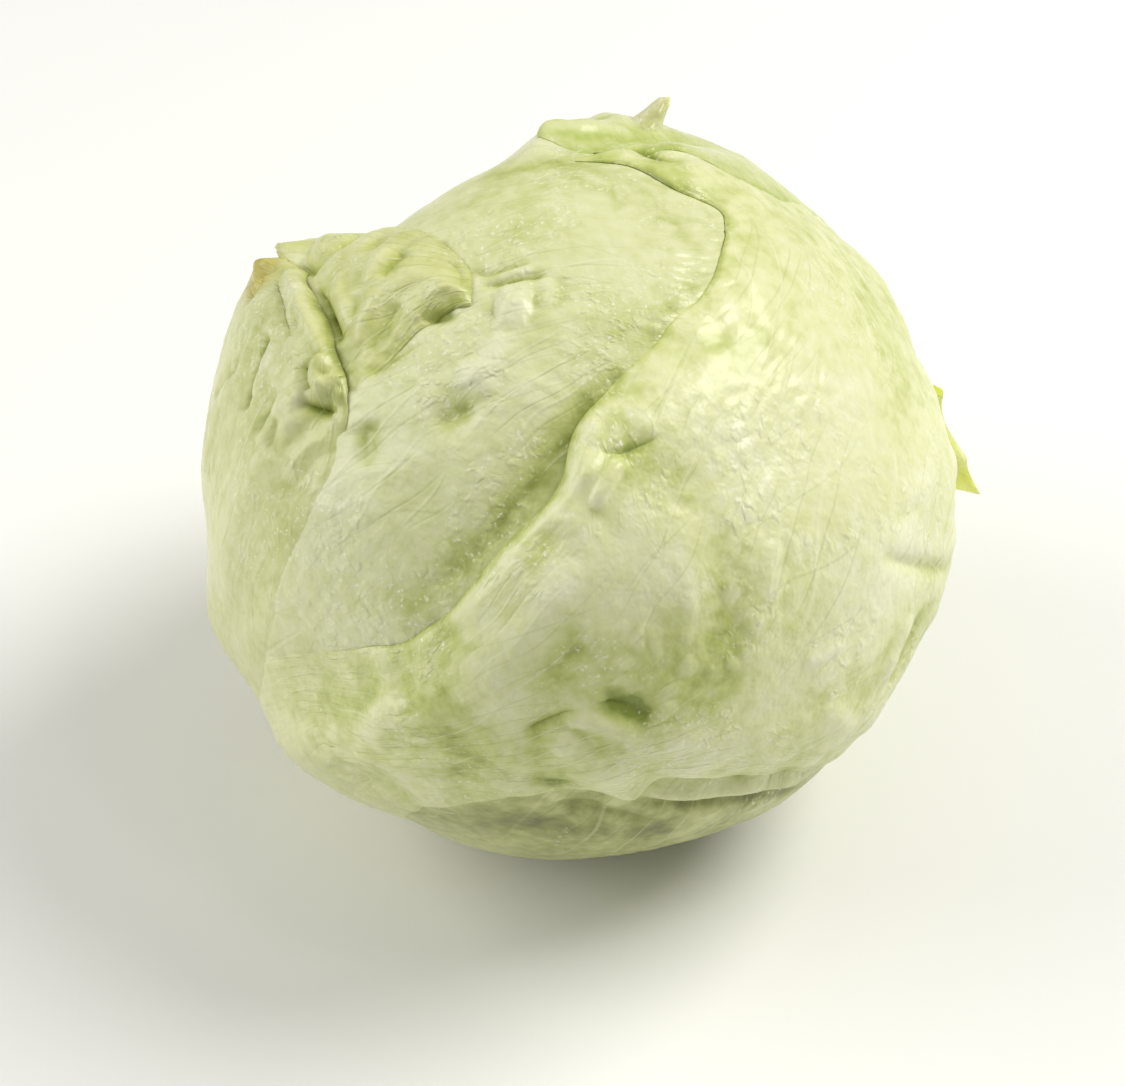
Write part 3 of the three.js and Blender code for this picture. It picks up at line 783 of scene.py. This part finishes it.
# Its colour spots: the greener ones are mostly painted shade in its folds and under its hanging end.
crumpled_leaf_tones_and_painted_light = [
    (0.9, 3.5, (82, 110)), (1.2, 3, (95, 92)), (1.0, 3, (79, 98)), (0.9, 3, (74, 120)),
    (1.6, 2.2, (70.5, 115)), (1.6, 2.2, (70.5, 118)), (0.9, 4, (70, 107)), (-0.6, 5, (88, 103)),
    (-0.6, 4, (78, 103)), (-0.5, 5, (76, 114)), (0.4, 8, (90, 108)),
]
grow_leaf("crumpled_blade", "crumpled_leaf", crumpled_leaf_rows, crumpled_leaf_lips, crumpled_leaf_folds,
          crumpled_leaf_tones_and_painted_light,
          leaf_material("crumpled lettuce leaf", ("e2e4b6", "d2d594", "bbc26e", "8a943c"), 5.9), 51,
          squares=(140, 260), lip_width=3.0, wave=0.9, pulls=[(103, 87, 5, (-5.0, 1.0, 1.8))])

# ---- Side leaf --------------------------------------------------------------------------------------
# A short outer leaf on the left, puckered along its veins.  Its end has curled over into a thick
# roll, which twists at the right and has dried brown at the left.

side_leaf_rows = [
    [(118, 9.9), (76, 9.9), (30, 9.9)],
    [(122, 35), (78, 35), (32, 35)],
    [(124, 55), (82, 57), (38, 57)],
    [(120, 68), (86, 76), (47, 78)],
    [(110, 77), (84, 88), (53, 91)],
    [(101, 86), (80, 94.5), (60.5, 96.5)],
    [(96, 89.5), (80, 96.8), (67, 98.8)],
]
side_leaf_lips = [
    (30, 14, 0.0), (32, 35, 0.0), (38, 57, 0.0), (47, 78, 0.0), (53, 91, 0.0), (58, 95, 0.0),
    (62, 97.5, 0.7), (66, 98.8, 2.2), (72, 98, 2.6), (80, 96, 2.4), (90, 92.5, 2.4), (99, 87, 2.0),
    (110, 77, 0.6), (120, 68, 0.3), (122, 35, 0.0),
]
side_leaf_folds = [
    (1.7, 1.8, [(96, 89), (89, 92.5), (84, 94.5), (79, 96), (74, 97)]),
    (-1.0, 1.6, [(96, 86), (88, 89.5), (82, 91.5), (76, 93)]),
    (2.3, 1.5, [(75, 97), (71, 98), (70, 96.5), (68, 95.5), (65.5, 97)]),
    (2.1, 1.6, [(70, 98.5), (67, 99), (64, 99), (62.5, 98)]),
    (-1.7, 1.8, [(72, 94), (69, 94), (67, 93.5)]),
    (1.0, 2.2, [(79, 89), (76, 86), (73, 83)]),
    (0.9, 2.4, [(86, 86), (83, 82), (80, 79)]),
    (-1.2, 1.8, [(71, 89), (69, 86), (67, 82)]),
    (-1.0, 1.8, [(67, 88), (65, 86), (63, 83)]),
    (0.8, 2.2, [(68, 91), (67, 87), (65, 82)]),
    (0.8, 2.2, [(60, 94), (60, 89), (58, 84)]),
    (1.3, 2.6, [(104, 79), (101, 81), (98, 82)]),
    (-1.3, 1.6, [(101, 80), (96, 82), (92, 82)]),
    (1.8, 1.3, [(101, 82), (99.5, 85)]),  # lumps where it has dried
    (1.6, 1.2, [(96.5, 80.5), (95, 84)]),
    (-1.4, 1.0, [(99, 79), (97.5, 86)]),
]
# Its colour spots: the greenest is painted shade in the hole under the curl, and most of the others are
# painted shade between its puckers.
side_leaf_tones_and_painted_light = [
    (1.3, 2.5, (80, 86)), (1.2, 3, (84, 75)), (2.6, 2.6, (64.5, 93)), (0.8, 3, (70, 94)),
    (0.6, 2.2, (67, 98)), (0.6, 2, (70, 97)), (0.4, 2, (64, 98)), (0.7, 4, (68, 83)),
    (0.7, 4, (65, 86)), (0.6, 3, (72, 88)), (-0.7, 4, (86, 93)), (-0.5, 14, (65, 60)),
    (0.5, 3, (76, 81)), (0.7, 10, (86, 82)),
]
grow_leaf("side_blade", "side_leaf", side_leaf_rows, side_leaf_lips, side_leaf_folds, side_leaf_tones_and_painted_light,
          leaf_material("outer lettuce leaf", ("e2e3ba", "d3d69a", "bbc174", "899440"), 7.2), 67,
          squares=(190, 240), lip_width=2.2, wave=0.7, dried=[(100, 83, 5.5), (96, 83, 4)])

# ---- Back leaf --------------------------------------------------------------------------------------
# The outermost leaf covers the back and rims the crown; a thin tongue stands up from its margin,
# and a pointed tip stands out at the right.

back_leaf_rows = [
    [(-148, 9.8), (-156, 9.8), (-163, 9.8), (-171, 9.8), (-178, 9.8),
     (172, 9.8), (162, 9.8), (152, 9.8), (142, 9.8)],
    [(-134, 54), (-145, 54), (-156, 54), (-167, 54), (-177, 54),
     (171, 54), (160, 54), (150, 54), (139, 54)],
    [(-112, 96), (-126, 97), (-140, 98), (-154, 98), (-168, 98),
     (176, 98), (164, 98), (151, 97), (138, 96)],
    [(-104, 118), (-114, 120), (-126, 122), (-144, 124), (-168, 124),
     (172, 125), (156, 124), (145, 121), (134, 118)],
    [(-98, 127), (-108, 131), (-119, 134), (-137, 136), (-167, 137),
     (167, 139), (149, 138), (136, 134), (121, 126)],
    [(-88, 136), (-99, 141), (-110, 143), (-131, 143), (-166, 146),
     (163, 151), (145, 146), (133, 139), (119, 130)],
    [(-79, 142), (-95, 147), (-106, 149), (-127, 149), (-165, 152),
     (160, 160), (137, 155), (131, 143), (119, 134)],
]
back_leaf_lips = [
    (138, 96, 0.4), (134, 118, 0.6), (121, 126, 0.6), (119, 134, 0.2), (126, 139, 0.5),
    (132, 144.5, 0.6), (134, 150.5, 0.4), (138, 156, 0.2), (150, 160, 0.2), (170, 160, 0.1),
    (-140, 151, 0.1), (-113, 147.5, 0.2), (-101, 149.5, 0.6), (-92, 145.5, 0.3), (-79, 142, 1.0),
    (-104, 118, 0.8), (-126, 68, 0.6),
]
back_leaf_folds = [
    (1.5, 2.0, [(122, 124), (129, 130), (139, 135)]),
    (-1.0, 2.0, [(128, 122), (135, 127), (145, 132)]),
]
# Its colour spots: those near (130, 144) are painted shade in the hollow behind the top of the right leaf.
back_leaf_tones_and_painted_light = [
    (0.6, 6, (124, 127)), (-0.6, 4, (146, 133)), (0.8, 5, (116, 132)), (1.0, 5, (122, 137)),
    (1.5, 3.5, (130, 142)), (1.5, 3.5, (133, 146)), (0.2, 9, (-78, 142)), (1.2, 5, (-104, 149)),
]
grow_leaf("back_blade", "back_leaf", back_leaf_rows, back_leaf_lips, back_leaf_folds, back_leaf_tones_and_painted_light,
          leaf_material("green lettuce leaf", ("dfe2b4", "d0d696", "b6c36a", "8f9d40"), 8.8), 83,
          squares=(210, 220), lip_width=2.5, wave=0.8,
          pulls=[(146, 133.5, 3.2, (5.6, 3.6, 6.4)), (-78.5, 142, 9.5, (7.4, 0.7, -6.0)),
                 (-87, 144.5, 9.0, (5.2, 0.5, -4.2)), (-101, 148, 9, (4.0, 0.5, 1.2))],
          free=[(146, 133.5, 3.5), (-80, 142, 12), (-88, 144.5, 9), (-101, 148, 8)])

# ---- Room ---------------------------------------------------------------------------------------------
# A white table under a big soft lamp at the upper right, with weak light from everywhere.

table_top = bpy.data.meshes.new("table_top")
bm = bmesh.new()
bmesh.ops.create_grid(bm, x_segments=1, y_segments=1, size=3)
bm.to_mesh(table_top)
bm.free()
painted_board, tree = new_material("matt white board")
shader = add_node(tree, "ShaderNodeBsdfPrincipled", {"Base Color": linear("f6f6f5"), "Roughness": 0.8})
add_node(tree, "ShaderNodeOutputMaterial", links={"Surface": shader.outputs[0]})
table_top.materials.append(painted_board)
table = bpy.data.objects.new("table_top", table_top)
table.location.z = -0.0002
bpy.context.scene.collection.objects.link(table)


def soft_lamp(name, bearing, height, distance, size, watts, colour):
    """A round lamp aimed at the head; bearing is from the front to the right, in degrees."""
    lamp = bpy.data.objects.new(name, bpy.data.lights.new(name, "AREA"))
    lamp.data.shape = "DISK"
    lamp.data.size = size
    lamp.data.energy = watts
    lamp.data.color = linear(colour)[:3]
    b, h = math.radians(bearing), math.radians(height)
    towards = Vector((math.cos(h) * math.sin(b), -math.cos(h) * math.cos(b), math.sin(h)))
    lamp.location = Vector((0, 0, 0.07)) + distance * towards
    lamp.rotation_euler = towards.to_track_quat("Z", "Y").to_euler()
    bpy.context.scene.collection.objects.link(lamp)


soft_lamp("window", 105, 50, 1.2, 0.7, 11.8, "fffdf6")
soft_lamp("lamp", 60, 65, 1.2, 0.16, 0.6, "fffdf6")
soft_lamp("far wall", -92, 30, 1.4, 1.1, 10.8, "fffff8")

world = bpy.data.worlds.new("white room")
bpy.context.scene.world = world
world.use_nodes = True
world.node_tree.nodes["Background"].inputs["Color"].default_value = linear("ffffff")
world.node_tree.nodes["Background"].inputs["Strength"].default_value = 0.3
bpy.context.scene.view_settings.view_transform = "Standard"
